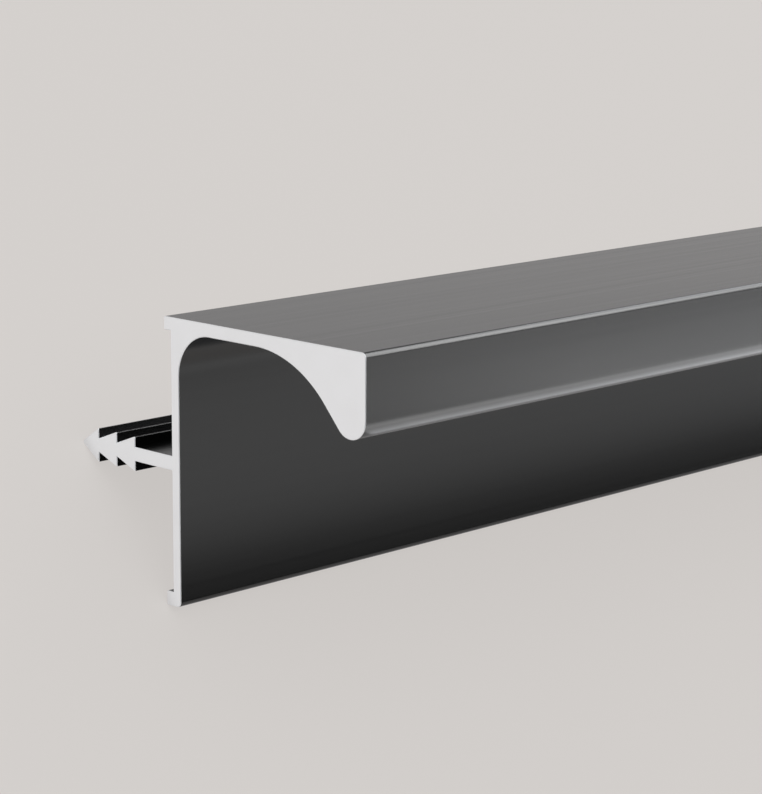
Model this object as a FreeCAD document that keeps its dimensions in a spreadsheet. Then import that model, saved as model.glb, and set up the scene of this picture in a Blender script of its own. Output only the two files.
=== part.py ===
import FreeCAD, Part
import math
import os

import Sketcher

# Handleless finger pull: one extruded aluminium bar that covers the edge of a cabinet front.
# The web lies along the edge of the board and the barbed tongue sits in a groove in its middle.
# The top flange reaches forward and turns down into a lip, and the fingers hook behind it.
# The section is drawn upright, as it is fitted, in the XZ plane: X runs forward, Z runs up, and
# the origin is where the tongue's middle line meets the plane of the board's edge.
# The finished bar lies unheld on a floor, on the foot's back edge and the tongue's nose.

SIZES = {
    "length": 300.0,
    # Outer section
    "height": 22.0,
    "depth": 21.0,
    "flange": 1.0,
    "edge_radius": 0.4,
    # Web and the two pads behind it that bear on the board
    "web": 0.85,
    "recess": 0.75,
    "top_pad": 1.0,
    "foot": 1.1,
    "foot_radius": 0.5,
    # Finger hollow and lip
    "cove_radius": 3.3,
    "hollow_radius": 9.6,
    "slope_angle": 48.0,
    "lip_drop": 6.25,
    "lip_radius": 1.5,
    # Barbed tongue
    "stem": 1.1,
    "barb_width": 2.75,
    "first_catch": 3.5,
    "barb_pitch": 2.15,
    "head_length": 1.9,
    "nose": 0.2,
}
INNER_BARBS = 2

NODE = "finger_pull_profile"
# The points of a line or an arc, and the axes and the origin that every sketch has
START, END, CENTRE = range(1, 4)
UPRIGHT_AXIS, LEVEL_AXIS = range(-2, 0)
ORIGIN = LEVEL_AXIS


def new_sheet(doc):
    sheet = doc.addObject("Spreadsheet::Sheet", "Sizes")
    for row, (name, value) in enumerate(SIZES.items(), start=1):
        sheet.set(f"A{row}", name)
        sheet.set(f"B{row}", str(value))
        sheet.setAlias(f"B{row}", name)
    doc.recompute()
    return sheet


def new_sketch(body, name):
    """A sketch on the body's own XZ plane, where the section lies."""
    plane = next(item for item in body.Origin.OriginFeatures if item.Role == "XZ_Plane")
    sketch = body.newObject("Sketcher::SketchObject", name)
    sketch.AttachmentSupport = (plane, [""])
    sketch.MapMode = "FlatFace"
    return sketch


def point(x, y):
    return FreeCAD.Vector(x, y, 0)


def add_line(sketch, start, end):
    """A line of the outline: its index, the point it starts at and the point it ends at."""
    index = sketch.addGeometry(Part.LineSegment(point(*start), point(*end)), False)
    return index, START, END


def add_arc(sketch, centre, radius, first, last):
    """An arc of the outline from one angle to another, in degrees, turning either way."""
    circle = Part.Circle(point(*centre), FreeCAD.Vector(0, 0, 1), radius)
    low, high = sorted((math.radians(first), math.radians(last)))
    index = sketch.addGeometry(Part.ArcOfCircle(circle, low, high), False)
    return (index, START, END) if last > first else (index, END, START)


def constrain(sketch, kind, *references):
    return sketch.addConstraint(Sketcher.Constraint(kind, *references))


def dimension(sketch, kind, references, name, expression):
    """A named dimension whose value comes from the sheet."""
    value = sketch.evalExpression(expression)
    value = math.radians(value) if kind == "Angle" else float(value)
    index = constrain(sketch, kind, *references, value)
    sketch.renameConstraint(index, name)
    sketch.setExpression(f"Constraints.{name}", expression)


def close_outline(sketch, pieces, smooth):
    """Joins each piece to the next one, tangent where either of the two is a round."""
    for piece, following in zip(pieces, pieces[1:] + pieces[:1]):
        kind = "Tangent" if piece in smooth or following in smooth else "Coincident"
        constrain(sketch, kind, piece[0], piece[2], following[0], following[1])


def draw_wall(sketch, size):
    """Foot, web, flange and lip as one outline, drawn with the metal on its left."""
    half = size.height / 2
    web_front = size.recess + size.web
    underside = half - size.flange
    slope = math.radians(size.slope_angle)

    # The slope inside the lip touches the lip's round, and the hollow touches the slope
    # and the flat underside of the flange.
    lip_x = size.depth - size.lip_radius
    lip_y = half - size.lip_drop + size.lip_radius
    slope_end = (lip_x - size.lip_radius * math.sin(slope), lip_y - size.lip_radius * math.cos(slope))
    hollow_y = underside - size.hollow_radius
    along_slope = (slope_end[1] - hollow_y) * math.cos(slope) - size.hollow_radius
    hollow_x = slope_end[0] + along_slope / math.sin(slope)
    slope_start = (
        hollow_x + size.hollow_radius * math.sin(slope),
        hollow_y + size.hollow_radius * math.cos(slope),
    )
    cove = (web_front + size.cove_radius, underside - size.cove_radius)
    foot_round = (web_front - size.foot_radius, size.foot_radius - half)
    edge_round = (size.depth - size.edge_radius, half - size.edge_radius)

    bottom = add_line(sketch, (0, -half), (foot_round[0], -half))
    foot_corner = add_arc(sketch, foot_round, size.foot_radius, -90, 0)
    web_face = add_line(sketch, (web_front, foot_round[1]), (web_front, cove[1]))
    cove_arc = add_arc(sketch, cove, size.cove_radius, 180, 90)
    under = add_line(sketch, (cove[0], underside), (hollow_x, underside))
    hollow_arc = add_arc(sketch, (hollow_x, hollow_y), size.hollow_radius, 90, 90 - size.slope_angle)
    slope_line = add_line(sketch, slope_start, slope_end)
    lip_arc = add_arc(sketch, (lip_x, lip_y), size.lip_radius, -90 - size.slope_angle, 0)
    lip_face = add_line(sketch, (size.depth, lip_y), (size.depth, edge_round[1]))
    edge_arc = add_arc(sketch, edge_round, size.edge_radius, 0, 90)
    top = add_line(sketch, (edge_round[0], half), (0, half))
    pad_back = add_line(sketch, (0, half), (0, half - size.top_pad))
    pad_under = add_line(sketch, (0, half - size.top_pad), (size.recess, half - size.top_pad))
    web_back = add_line(sketch, (size.recess, half - size.top_pad), (size.recess, size.foot - half))
    foot_top = add_line(sketch, (size.recess, size.foot - half), (0, size.foot - half))
    foot_back = add_line(sketch, (0, size.foot - half), (0, -half))

    rounds = [foot_corner, cove_arc, hollow_arc, lip_arc, edge_arc]
    outline = [bottom, foot_corner, web_face, cove_arc, under, hollow_arc, slope_line, lip_arc]
    outline += [lip_face, edge_arc, top, pad_back, pad_under, web_back, foot_top, foot_back]
    close_outline(sketch, outline, rounds)
    for piece in (bottom, under, top, pad_under, foot_top):
        constrain(sketch, "Horizontal", piece[0])
    for piece in (web_face, lip_face, web_back, pad_back, foot_back):
        constrain(sketch, "Vertical", piece[0])
    constrain(sketch, "Symmetric", pad_back[0], START, foot_back[0], END, LEVEL_AXIS)
    constrain(sketch, "PointOnObject", pad_back[0], START, UPRIGHT_AXIS)

    def across(name, first, second, expression):
        dimension(sketch, "DistanceX", (*first, *second), name, expression)

    def upright(name, lower, upper, expression):
        dimension(sketch, "DistanceY", (*lower, *upper), name, expression)

    top_start, zero = (top[0], START), (ORIGIN, START)
    upright("height", (bottom[0], START), top_start, "Sizes.height")
    across("depth", zero, (lip_face[0], START), "Sizes.depth")
    upright("flange", (under[0], START), top_start, "Sizes.flange")
    across("recess", zero, (web_back[0], START), "Sizes.recess")
    across("web", (web_back[0], START), (web_face[0], START), "Sizes.web")
    upright("topPad", (pad_back[0], END), (pad_back[0], START), "Sizes.top_pad")
    upright("foot", (foot_back[0], END), (foot_back[0], START), "Sizes.foot")
    upright("lipDrop", (lip_arc[0], CENTRE), top_start, "Sizes.lip_drop - Sizes.lip_radius")
    dimension(sketch, "Angle", (slope_line[0], START, under[0], START), "slopeAngle", "Sizes.slope_angle")
    dimension(sketch, "Radius", (lip_arc[0],), "lipRadius", "Sizes.lip_radius")
    dimension(sketch, "Radius", (hollow_arc[0],), "hollowRadius", "Sizes.hollow_radius")
    dimension(sketch, "Radius", (cove_arc[0],), "coveRadius", "Sizes.cove_radius")
    dimension(sketch, "Radius", (foot_corner[0],), "footRadius", "Sizes.foot_radius")
    dimension(sketch, "Radius", (edge_arc[0],), "edgeRadius", "Sizes.edge_radius")


def draw_tongue(sketch, size):
    """The barbed tongue, the same above and below its middle line, rooted inside the web."""
    stem, crest = size.stem / 2, size.barb_width / 2
    root = size.recess + size.web / 2
    upper = [(root, stem)]
    for barb in range(INNER_BARBS + 1):
        catch = -size.first_catch - barb * size.barb_pitch
        upper += [(catch, stem), (catch, crest)]
    upper.append((catch - size.head_length, size.nose / 2))
    corners = upper + [(x, -y) for x, y in reversed(upper)]

    sides = [add_line(sketch, *ends) for ends in zip(corners, corners[1:] + corners[:1])]
    close_outline(sketch, sides, [])
    for number in range(len(upper)):
        mirrored = len(corners) - 1 - number
        constrain(sketch, "Symmetric", sides[number][0], START, sides[mirrored][0], START, LEVEL_AXIS)

    def width(number, name, expression):
        """The full width of the tongue at a corner of its upper side."""
        mirrored = len(corners) - 1 - number
        dimension(sketch, "DistanceY", (mirrored, START, number, START), name, expression)

    def step(name, outer, inner, expression):
        dimension(sketch, "DistanceX", (outer, START, inner, START), name, expression)

    dimension(sketch, "DistanceX", (ORIGIN, START, 0, START), "root", "Sizes.recess + Sizes.web / 2")
    width(0, "stem", "Sizes.stem")
    dimension(sketch, "DistanceX", (1, START, ORIGIN, START), "firstCatch", "Sizes.first_catch")
    for barb in range(INNER_BARBS + 1):
        foot, crest_point = 1 + 2 * barb, 2 + 2 * barb
        constrain(sketch, "Vertical", foot)
        width(foot, f"root{barb}", "Sizes.stem")
        width(crest_point, f"crest{barb}", "Sizes.barb_width")
        if barb < INNER_BARBS:
            step(f"pitch{barb}", foot + 2, foot, "Sizes.barb_pitch")
    nose = len(upper) - 1
    step("headLength", nose, nose - 1, "Sizes.head_length")
    width(nose, "nose", "Sizes.nose")


def extrude(body, sketch, name):
    """Pads a section equally to both sides of its plane, over the bar's length."""
    pad = body.newObject("PartDesign::Pad", name)
    pad.Profile = sketch
    pad.SideType = "Symmetric"
    pad.Refine = True
    pad.setExpression("Length", "Sizes.length")
    sketch.Visibility = False
    return pad


def lay_down(doc, body):
    """Leans the bar back until the foot's back edge and the nose both lie on the floor."""
    reach = f"(Sizes.first_catch + {INNER_BARBS} * Sizes.barb_pitch + Sizes.head_length)"
    lean = f"atan((Sizes.height - Sizes.nose) / 2 / {reach})"
    body.Placement = FreeCAD.Placement(FreeCAD.Vector(), FreeCAD.Rotation(FreeCAD.Vector(0, -1, 0), 45))
    body.setExpression(".Placement.Rotation.Angle", lean)
    body.setExpression(".Placement.Base.z", f"Sizes.height / 2 * cos({lean})")
    doc.recompute()
    # The middle of the resting bar's width comes over the origin.
    placement = body.Placement
    placement.Base.x -= body.Shape.BoundBox.Center.x
    body.Placement = placement
    doc.recompute()


def check(doc, body):
    """Stops on a failed object, an open sketch or a body that is not one sound solid."""
    for item in doc.Objects:
        if "Invalid" in item.State or "Error" in item.State:
            raise RuntimeError(f"{item.Label} failed: {item.State}")
        if item.TypeId == "Sketcher::SketchObject" and not item.FullyConstrained:
            raise RuntimeError(f"{item.Label} is not fully constrained")
    shape = body.Shape
    if shape.isNull() or not shape.isValid() or len(shape.Solids) != 1:
        raise RuntimeError(f"{body.Label} is not one valid solid")


def main():
    os.makedirs("parts", exist_ok=True)
    doc = FreeCAD.newDocument("FingerPull")
    size = new_sheet(doc)
    body = doc.addObject("PartDesign::Body", "Profile")
    body.Label = NODE

    wall = new_sketch(body, "WallSection")
    draw_wall(wall, size)
    extrude(body, wall, "Wall")
    tongue = new_sketch(body, "TongueSection")
    draw_tongue(tongue, size)
    extrude(body, tongue, "Tongue")
    doc.recompute()

    lay_down(doc, body)
    check(doc, body)
    body.Shape.exportStep(f"parts/{body.Label}.step")
    box = body.Shape.BoundBox
    extent = f"{box.XLength:.2f} x {box.YLength:.2f} x {box.ZLength:.2f} mm"
    print(f"{body.Label}: {body.Shape.Volume:.1f} mm3, {extent}")


main()
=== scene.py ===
import math

import bpy
from mathutils import Euler, Matrix, Vector


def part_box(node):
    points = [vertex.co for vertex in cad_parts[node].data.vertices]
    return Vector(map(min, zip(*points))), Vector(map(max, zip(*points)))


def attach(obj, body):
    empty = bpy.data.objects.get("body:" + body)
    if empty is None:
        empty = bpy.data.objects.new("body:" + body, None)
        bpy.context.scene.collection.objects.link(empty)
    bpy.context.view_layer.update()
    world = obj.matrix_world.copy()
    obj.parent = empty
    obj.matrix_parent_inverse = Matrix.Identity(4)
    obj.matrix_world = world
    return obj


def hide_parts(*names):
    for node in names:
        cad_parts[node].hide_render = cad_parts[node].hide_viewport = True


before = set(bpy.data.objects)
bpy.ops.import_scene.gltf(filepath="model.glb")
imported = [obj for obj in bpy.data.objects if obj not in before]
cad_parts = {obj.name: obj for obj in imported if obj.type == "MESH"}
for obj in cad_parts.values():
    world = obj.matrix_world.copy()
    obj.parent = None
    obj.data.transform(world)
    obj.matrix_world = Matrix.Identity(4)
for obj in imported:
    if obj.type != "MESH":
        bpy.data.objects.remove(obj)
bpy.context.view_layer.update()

mm = 0.001
cadLow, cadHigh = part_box("finger_pull_profile")
bpy.context.scene.view_settings.view_transform = "Standard"  # plain colours, as in the photograph


def say(stage):
    print("finger pull:", stage)


# Materials: one helper adds a node, and colours are written as sRGB hex

noiseLow, noiseHigh = 0.3, 0.7  # nearly all of a noise texture lies between these


def linear(hexCode):
    channels = [int(hexCode[i:i + 2], 16) / 255 for i in (1, 3, 5)]
    return [c / 12.92 if c <= 0.04045 else ((c + 0.055) / 1.055) ** 2.4 for c in channels] + [1]


def newMaterial(name):
    material = bpy.data.materials.new(name)
    material.use_nodes = True
    material.node_tree.nodes.clear()
    return material


def addNode(tree, kind, settings=None, inputs=None):
    node = tree.nodes.new(kind)
    for name, value in (settings or {}).items():
        setattr(node, name, value)
    for name, value in (inputs or {}).items():
        if isinstance(value, bpy.types.NodeSocket):
            tree.links.new(value, node.inputs[name])
        else:
            node.inputs[name].default_value = value
    return node


blackFilm = {
    "colour": "#464646",
    "edgeTint": "#F1F3F6",  # seen edge on, the film mirrors a little less than bare metal
    "roughness": (0.23, 0.27),
    "dieLine": 0.35,  # mm across, the lines that the die leaves along the bar
    "dieLineLength": 160,  # mm
    "dieLineDepth": 0.0004,  # mm
    "grain": 0.16,  # mm, the etched grain, drawn coarser than the real 0.03 so that it shows
    "grainDepth": 0.0012,  # mm
}


def blackAnodisedAluminium():
    # Extruded, etched and anodised black: a dark satin metal, a little streaky along the bar.
    material = newMaterial("blackAnodisedAluminium")
    tree = material.node_tree
    place = addNode(tree, "ShaderNodeTexCoord").outputs["Object"]
    across, along = 1 / (blackFilm["dieLine"] * mm), 1 / (blackFilm["dieLineLength"] * mm)
    stretched = addNode(tree, "ShaderNodeMapping", inputs={
        "Vector": place, "Scale": (across, along, across)})
    lines = addNode(tree, "ShaderNodeTexNoise", inputs={
        "Vector": stretched.outputs["Vector"], "Scale": 1, "Detail": 3, "Roughness": 0.6})
    grain = addNode(tree, "ShaderNodeTexNoise", inputs={
        "Vector": place, "Scale": 1 / (blackFilm["grain"] * mm), "Detail": 2, "Roughness": 0.55})
    sheen = addNode(tree, "ShaderNodeMapRange", inputs={
        "Value": lines.outputs["Fac"], "From Min": noiseLow, "From Max": noiseHigh,
        "To Min": blackFilm["roughness"][0], "To Max": blackFilm["roughness"][1]})
    lineBump = addNode(tree, "ShaderNodeBump", inputs={
        "Height": lines.outputs["Fac"], "Distance": blackFilm["dieLineDepth"] * mm})
    grainBump = addNode(tree, "ShaderNodeBump", inputs={
        "Height": grain.outputs["Fac"], "Distance": blackFilm["grainDepth"] * mm,
        "Normal": lineBump.outputs["Normal"]})
    surface = addNode(tree, "ShaderNodeBsdfPrincipled", inputs={
        "Base Color": linear(blackFilm["colour"]), "Metallic": 1.0,
        "Specular Tint": linear(blackFilm["edgeTint"]),
        "Roughness": sheen.outputs["Result"], "Normal": grainBump.outputs["Normal"]})
    addNode(tree, "ShaderNodeOutputMaterial", inputs={"Surface": surface.outputs["BSDF"]})
    return material


sawnEnd = {
    "colour": "#ECEEF1",
    "roughness": (0.42, 0.52),
    "patch": 2.5,  # mm, how wide the duller and brighter places are
    "stroke": 0.24,  # mm between the marks of the saw's teeth
    "strokeDepth": 0.0012,  # mm
    "bladeCentre": (-60, 150),  # mm, across and up from the middle of the bar: a 320 mm blade
}


def sawnAluminium():
    # Cut to length after anodising: bright bare metal, with fine arcs left by the blade.
    material = newMaterial("sawnAluminium")
    tree = material.node_tree
    place = addNode(tree, "ShaderNodeTexCoord").outputs["Object"]
    bladeX, bladeZ = sawnEnd["bladeCentre"]
    aroundBlade = addNode(tree, "ShaderNodeMapping", inputs={
        "Vector": place, "Location": (-bladeX * mm, 0, -bladeZ * mm), "Scale": (1, 0, 1)})
    # At scale 1 the rings of a wave texture are pi / 10 apart.
    marks = addNode(tree, "ShaderNodeTexWave", {"wave_type": "RINGS", "rings_direction": "Y"}, {
        "Vector": aroundBlade.outputs["Vector"], "Scale": math.pi / 10 / (sawnEnd["stroke"] * mm),
        "Distortion": 2.0, "Detail": 2, "Detail Scale": 0.6})
    patches = addNode(tree, "ShaderNodeTexNoise", inputs={
        "Vector": place, "Scale": 1 / (sawnEnd["patch"] * mm), "Detail": 3})
    sheen = addNode(tree, "ShaderNodeMapRange", inputs={
        "Value": patches.outputs["Fac"], "From Min": noiseLow, "From Max": noiseHigh,
        "To Min": sawnEnd["roughness"][0], "To Max": sawnEnd["roughness"][1]})
    bump = addNode(tree, "ShaderNodeBump", inputs={
        "Height": marks.outputs["Fac"], "Distance": sawnEnd["strokeDepth"] * mm})
    surface = addNode(tree, "ShaderNodeBsdfPrincipled", inputs={
        "Base Color": linear(sawnEnd["colour"]), "Metallic": 1.0,
        "Roughness": sheen.outputs["Result"], "Normal": bump.outputs["Normal"]})
    addNode(tree, "ShaderNodeOutputMaterial", inputs={"Surface": surface.outputs["BSDF"]})
    return material


# The bar, drawn as it is fitted: X out of the board's edge, Z up it, Y along the bar

barSizes = {
    "height": 22, "depth": 21, "flange": 1.0, "edgeRadius": 0.4,
    "web": 0.85, "recess": 0.75, "topPad": 1.0, "foot": 1.1, "footRadius": 0.5,
    "coveRadius": 3.3, "hollowRadius": 9.6, "slopeAngle": 48, "lipDrop": 6.25, "lipRadius": 1.5,
    "stem": 1.1, "barbWidth": 2.75, "firstCatch": 3.5, "barbPitch": 2.15, "barbs": 3,
    "headLength": 1.9, "nose": 0.2,
    "cornerEase": 0.12,  # how far back a plain corner is rounded
    "barbEase": 0.15,
    "noseEase": 0.05,
    "easeSteps": 4,
    "rim": 0.05,  # the deburred edge round each sawn end
    "arcStep": 3,  # degrees
    "smoothUnder": 40,  # degrees between faces, past which an edge stays sharp
}
pen = Vector((0, 0))  # where the drawing has got to, in mm across and up


def pick(part, kind, wanted):
    bpy.ops.mesh.select_mode(type=kind)
    bpy.ops.mesh.select_all(action="DESELECT")
    bpy.ops.object.mode_set(mode="OBJECT")
    items = {"VERT": part.data.vertices, "EDGE": part.data.edges, "FACE": part.data.polygons}[kind]
    for item in items:
        item.select = wanted(item)
    bpy.ops.object.mode_set(mode="EDIT")


def startOutline(name, x, z, y):
    # A small plane merged to a point, from which the outline is then extruded.
    bpy.ops.object.select_all(action="DESELECT")
    bpy.ops.mesh.primitive_plane_add(size=mm, location=(x * mm, y * mm, z * mm))
    part = bpy.context.object
    part.name = part.data.name = name
    bpy.ops.object.transform_apply(location=True, rotation=True, scale=True)
    bpy.ops.object.mode_set(mode="EDIT")
    bpy.ops.mesh.select_all(action="SELECT")
    bpy.ops.mesh.merge(type="CENTER")
    pen[:] = x, z
    return part


def lineTo(x, z):
    step = ((x - pen.x) * mm, 0, (z - pen.y) * mm)
    bpy.ops.mesh.extrude_vertices_move(TRANSFORM_OT_translate={"value": step})
    pen[:] = x, z


def arcTo(centre, x, z):
    start = math.atan2(pen.y - centre[1], pen.x - centre[0])
    turn = math.remainder(math.atan2(z - centre[1], x - centre[0]) - start, 2 * math.pi)
    bpy.ops.mesh.spin(
        steps=math.ceil(abs(math.degrees(turn)) / barSizes["arcStep"]), angle=turn,
        center=(centre[0] * mm, 0, centre[1] * mm), axis=(0, 1, 0))
    pen[:] = x, z


def drawWall(s):
    # Foot, web, cove, hollow, slope, lip and flange, and down the top pad to the back of the web.
    half = s["height"] / 2
    webFront, under, slope = s["recess"] + s["web"], half - s["flange"], math.radians(s["slopeAngle"])
    lipX, lipZ = s["depth"] - s["lipRadius"], half - s["lipDrop"] + s["lipRadius"]
    slopeEnd = (lipX - s["lipRadius"] * math.sin(slope), lipZ - s["lipRadius"] * math.cos(slope))
    hollowZ = under - s["hollowRadius"]
    slopeRise = (slopeEnd[1] - hollowZ) * math.cos(slope)
    hollowX = slopeEnd[0] + (slopeRise - s["hollowRadius"]) / math.sin(slope)
    footX, footZ = webFront - s["footRadius"], s["footRadius"] - half
    coveX, coveZ = webFront + s["coveRadius"], under - s["coveRadius"]
    edgeX, edgeZ = s["depth"] - s["edgeRadius"], half - s["edgeRadius"]

    lineTo(footX, -half)
    arcTo((footX, footZ), webFront, footZ)
    lineTo(webFront, coveZ)
    arcTo((coveX, coveZ), coveX, under)
    lineTo(hollowX, under)
    arcTo((hollowX, hollowZ), hollowX + s["hollowRadius"] * math.sin(slope),
          hollowZ + s["hollowRadius"] * math.cos(slope))
    lineTo(*slopeEnd)
    arcTo((lipX, lipZ), s["depth"], lipZ)
    lineTo(s["depth"], edgeZ)
    arcTo((edgeX, edgeZ), edgeX, half)
    lineTo(0, half)
    lineTo(0, half - s["topPad"])
    lineTo(s["recess"], half - s["topPad"])


def drawTongue(s):
    # Down the web's back, out along the upper barbs and back along the lower ones.
    stem, crest = s["stem"] / 2, s["barbWidth"] / 2
    catches = [-s["firstCatch"] - barb * s["barbPitch"] for barb in range(s["barbs"])]
    noseX = catches[-1] - s["headLength"]
    lineTo(s["recess"], stem)
    for catch in catches:
        lineTo(catch, stem)
        lineTo(catch, crest)
    lineTo(noseX, s["nose"] / 2)
    lineTo(noseX, -s["nose"] / 2)
    for catch in reversed(catches):
        lineTo(catch, -crest)
        lineTo(catch, -stem)
    lineTo(s["recess"], -stem)
    return catches, noseX


def easeCorners(part, corners, ease):
    # Rounds these corners of the outline, as far back along their sides as the ease.
    points = [Vector((x * mm, z * mm)) for x, z in corners]
    near = 0.01 * mm
    pick(part, "VERT", lambda v: any((Vector((v.co.x, v.co.z)) - p).length < near for p in points))
    bpy.ops.mesh.bevel(
        offset=ease * mm, segments=barSizes["easeSteps"], profile=0.5, affect="VERTICES")


def makeBar(s, black, bare):
    half, length = s["height"] / 2, (cadHigh.y - cadLow.y) / mm
    bar = startOutline("fingerPullProfile", 0, -half, s["rim"] - length / 2)
    drawWall(s)
    catches, noseX = drawTongue(s)
    lineTo(s["recess"], s["foot"] - half)
    lineTo(0, s["foot"] - half)
    lineTo(0, -half)
    bpy.ops.mesh.select_all(action="SELECT")
    bpy.ops.mesh.remove_doubles(threshold=0.001 * mm)
    bpy.ops.mesh.edge_face_add()

    backs = [(0, z) for z in (-half, s["foot"] - half, half - s["topPad"], half)]
    crests = [(x, side * s["barbWidth"] / 2) for x in catches for side in (1, -1)]
    easeCorners(bar, backs, s["cornerEase"])
    easeCorners(bar, crests, s["barbEase"])
    easeCorners(bar, [(noseX, side * s["nose"] / 2) for side in (1, -1)], s["noseEase"])
    say("section drawn")

    along = (0, (length - 2 * s["rim"]) * mm, 0)
    bpy.ops.mesh.select_all(action="SELECT")
    bpy.ops.mesh.extrude_region_move(TRANSFORM_OT_translate={"value": along})
    bpy.ops.mesh.select_all(action="SELECT")
    bpy.ops.mesh.normals_make_consistent(inside=False)
    pick(bar, "FACE", lambda f: abs(f.normal.y) > 0.9)  # the two ends
    bpy.ops.mesh.inset(thickness=s["rim"] * mm, depth=s["rim"] * mm)
    bpy.ops.mesh.select_all(action="DESELECT")
    bpy.ops.object.mode_set(mode="OBJECT")

    bar.data.materials.append(black)
    bar.data.materials.append(bare)
    for face in bar.data.polygons:
        face.material_index = int(abs(face.normal.y) > 0.3)  # the ends and their rims are bare
    bpy.ops.object.shade_smooth_by_angle(angle=math.radians(s["smoothUnder"]))
    bpy.ops.object.modifier_add(type="WEIGHTED_NORMAL")
    bar.modifiers[-1].keep_sharp = True
    bpy.ops.object.modifier_apply(modifier=bar.modifiers[-1].name)
    say("bar extruded and its ends deburred")
    return bar


def leanBack(bar, s):
    # Unheld, the bar rests on the back of its foot and on the nose of its tongue.
    reach = s["firstCatch"] + (s["barbs"] - 1) * s["barbPitch"] + s["headLength"]
    lean = math.atan((s["height"] - s["nose"]) / 2 / reach)
    bar.rotation_euler = (0, -lean, 0)
    bpy.ops.object.transform_apply(location=True, rotation=True, scale=True)
    low = [min(v.co[axis] for v in bar.data.vertices) for axis in range(3)]
    high = [max(v.co[axis] for v in bar.data.vertices) for axis in range(3)]
    middle = (cadLow.x + cadHigh.x) / 2 - (low[0] + high[0]) / 2
    bar.location = (middle, 0, cadLow.z - low[2])
    pose = Matrix.Translation(bar.location) @ Matrix.Rotation(-lean, 4, "Y")
    bpy.ops.object.transform_apply(location=True, rotation=True, scale=True)
    say("bar laid down")
    return pose


bar = makeBar(barSizes, blackAnodisedAluminium(), sawnAluminium())
restPose = leanBack(bar, barSizes)
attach(bar, "root")
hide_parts("finger_pull_profile")


# Studio: a plain pale floor, soft light and the photograph's camera

studio = {
    "floorColour": "#656463",
    "floorGlow": "#C7C3C0",
    "floorSize": 40,  # m
    "backdrop": "#D3CFCC",  # what the camera sees above the floor
    "walls": "#DCDBDA",  # what the bar mirrors, except in the two dark zones
    "darkWall": "#202020",
    # A dark zone fades in between two values of a direction's X, Y or Z, each from -1 to 1.
    "frontZone": {"X": (-0.1, 0.35), "Z": (0.1, 0.18)},  # high on the side that the lip faces
    "backZone": {"Y": (0.2, 0.4), "X": (-0.58, -0.7)},  # beyond the bar, far to the board's side
}


def litFloor():
    # An opal sheet lit from beneath: mostly its own even glow, so shadows on it stay faint.
    material = newMaterial("opalAcrylic")
    tree = material.node_tree
    surface = addNode(tree, "ShaderNodeBsdfPrincipled", inputs={
        "Base Color": linear(studio["floorColour"]), "Roughness": 0.8,
        "Emission Color": linear(studio["floorGlow"]), "Emission Strength": 1.0})
    addNode(tree, "ShaderNodeOutputMaterial", inputs={"Surface": surface.outputs["BSDF"]})
    bpy.ops.mesh.primitive_plane_add(size=studio["floorSize"])
    floor = bpy.context.object
    floor.name = "floor"
    floor.data.materials.append(material)


def surroundings():
    world = bpy.data.worlds.new("studio")
    bpy.context.scene.world = world
    world.use_nodes = True
    tree = world.node_tree
    tree.nodes.clear()
    direction = addNode(tree, "ShaderNodeSeparateXYZ", inputs={
        "Vector": addNode(tree, "ShaderNodeTexCoord").outputs["Generated"]})
    tone = linear(studio["walls"])
    for zone in (studio["frontZone"], studio["backZone"]):
        amount = 1.0
        for axis, (start, end) in zone.items():
            fade = addNode(tree, "ShaderNodeMapRange", {"interpolation_type": "SMOOTHSTEP"}, {
                "Value": direction.outputs[axis], "From Min": start, "From Max": end,
                "To Max": amount})
            amount = fade.outputs["Result"]
        mixed = addNode(tree, "ShaderNodeMixRGB", inputs={
            "Fac": amount, "Color1": tone, "Color2": linear(studio["darkWall"])})
        tone = mixed.outputs["Color"]
    seen = addNode(tree, "ShaderNodeMixRGB", inputs={
        "Fac": addNode(tree, "ShaderNodeLightPath").outputs["Is Camera Ray"],
        "Color1": tone, "Color2": linear(studio["backdrop"])})
    sky = addNode(tree, "ShaderNodeBackground", inputs={"Color": seen.outputs["Color"]})
    addNode(tree, "ShaderNodeOutputWorld", inputs={"Surface": sky.outputs["Background"]})


# Softboxes, in metres: where each stands, what it faces, its width, its height and its glow,
# which is how bright the panel itself looks. The floor's is about 0.6.
roomSoftboxes = {
    "overhead": ((0.1, 0, 1.6), (0, 0, 0), 1.4, 1.8, 0.7),
}
barSoftboxes = {  # these light only the bar
    "behindHigh": ((-0.175, 0.7, 0.81), (-0.175, 0, 0.81), 1.11, 0.28, 6.9),  # flange's lit edge
    "behindLow": ((-0.335, 0.7, 0.385), (-0.335, 0, 0.385), 0.79, 0.57, 3.1),  # flange
    "front": ((-0.1, -0.8, 0.2), (0, -0.15, 0.015), 0.6, 0.3, 3),  # near cut end
    "beforeEnd": ((0, -0.2505, 0.0002), (0, -0.2505, 1), 0.4, 0.2, 0.15),  # near cut end, low down
}
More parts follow.
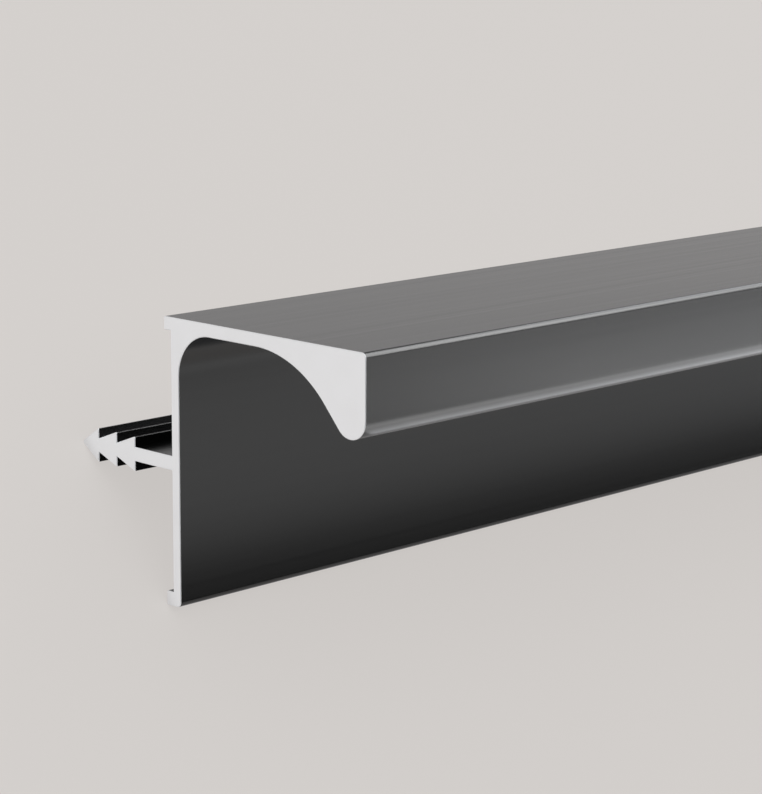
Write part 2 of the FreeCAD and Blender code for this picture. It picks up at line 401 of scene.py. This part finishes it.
# Strips along the bar, in mm in its own axes. Seen from the near cut end each is the line from
# its first point to its second, shining to its left. Then come its reach along the bar, its
# glow and its spread, which is under 180 degrees where a grid stands in front.
barStrips = {  # these light only the bar too
    "besideWeb": ((36, -19.4), (36, -3), (-150, 250), 0.85, 180),
    "besideLip": ((36, -3), (36, 35.5), (-150, 250), 0.76, 180),
    "besideLipLow": ((35.8, -3), (35.8, 3.4), (-112, 250), 0.08, 180),
    "underLip": ((20, 3), (44, -3.4), (-147, 250), 1.25, 166),
    "underLipEdge": ((19.6, 3.2), (22.2, 2.5), (-147, 250), 0.42, 166),
    # One under another and each shorter, so that the light grows along the bar
    "underLipFurther1": ((20, 2.9), (80, -13.1), (-143, 250), 0.115, 173),
    "underLipFurther2": ((20, 2.8), (80, -13.2), (-132, 250), 0.115, 173),
    "underLipFurther3": ((20, 2.7), (80, -13.3), (-123, 250), 0.115, 173),
    "underLipFurther4": ((20, 2.6), (80, -13.4), (-115, 250), 0.115, 173),
    "underLipFurther5": ((20, 2.5), (80, -13.5), (-108, 250), 0.115, 173),
    "underLipOutside": ((44, -3.4), (100, -18.4), (-100, 250), 3.3, 180),
}


def addPanel(name, pose, width, height, glow, only=None, spread=180):
    bpy.ops.object.light_add(type="AREA")
    light = bpy.context.object
    light.name = name
    light.matrix_world = pose
    light.data.shape = "RECTANGLE"
    light.data.size, light.data.size_y = width, height
    light.data.energy = glow * math.pi * width * height
    light.data.spread = math.radians(spread)
    light.visible_camera = False
    if only:
        light.light_linking.receiver_collection = only


def softbox(name, place, aim, width, height, glow, only=None):
    turn = (Vector(aim) - Vector(place)).to_track_quat("-Z", "Y").to_matrix().to_4x4()
    addPanel(name, Matrix.Translation(place) @ turn, width, height, glow, only)


def stripLight(name, first, last, reach, glow, spread, only):
    first, last = Vector((first[0], 0, first[1])) * mm, Vector((last[0], 0, last[1])) * mm
    across = (last - first).normalized()
    turn = Matrix((across, (0, -1, 0), (across.z, 0, -across.x))).transposed().to_4x4()
    middle = (first + last) / 2 + Vector((0, sum(reach) / 2 * mm, 0))
    addPanel(name, restPose @ Matrix.Translation(middle) @ turn,
             (last - first).length, (reach[1] - reach[0]) * mm, glow, only, spread)


# The photograph's camera, measured in the bar's own axes and laid down with it
shot = {
    "place": (136.42, -265.89, 41.12),  # mm from the middle of the bar
    "heading": 44.52,  # degrees from along the bar towards the board
    "pitch": 11.45,  # degrees down
    "roll": 0.34,  # degrees, anticlockwise
    "lens": 111.5,  # mm, on a 36 mm sensor along the picture's long side
    "clip": (0.01, 50),  # m
}


def photographCamera():
    bpy.ops.object.camera_add()
    camera = bpy.context.object
    camera.name = "camera"
    camera.data.lens = shot["lens"]
    camera.data.clip_start, camera.data.clip_end = shot["clip"]
    tilt, heading = math.radians(90 - shot["pitch"]), math.radians(shot["heading"])
    aim = Euler((tilt, 0, heading)).to_matrix().to_4x4()
    roll = Matrix.Rotation(math.radians(shot["roll"]), 4, "Z")
    camera.matrix_world = restPose @ Matrix.Translation(Vector(shot["place"]) * mm) @ aim @ roll
    bpy.context.scene.camera = camera


litFloor()
surroundings()
barOnly = bpy.data.collections.new("bar only")
barOnly.objects.link(bar)
for name, box in roomSoftboxes.items():
    softbox(name, *box)
for name, box in barSoftboxes.items():
    softbox(name, *box, only=barOnly)
for name, strip in barStrips.items():
    stripLight(name, *strip, only=barOnly)
photographCamera()
say("studio ready")
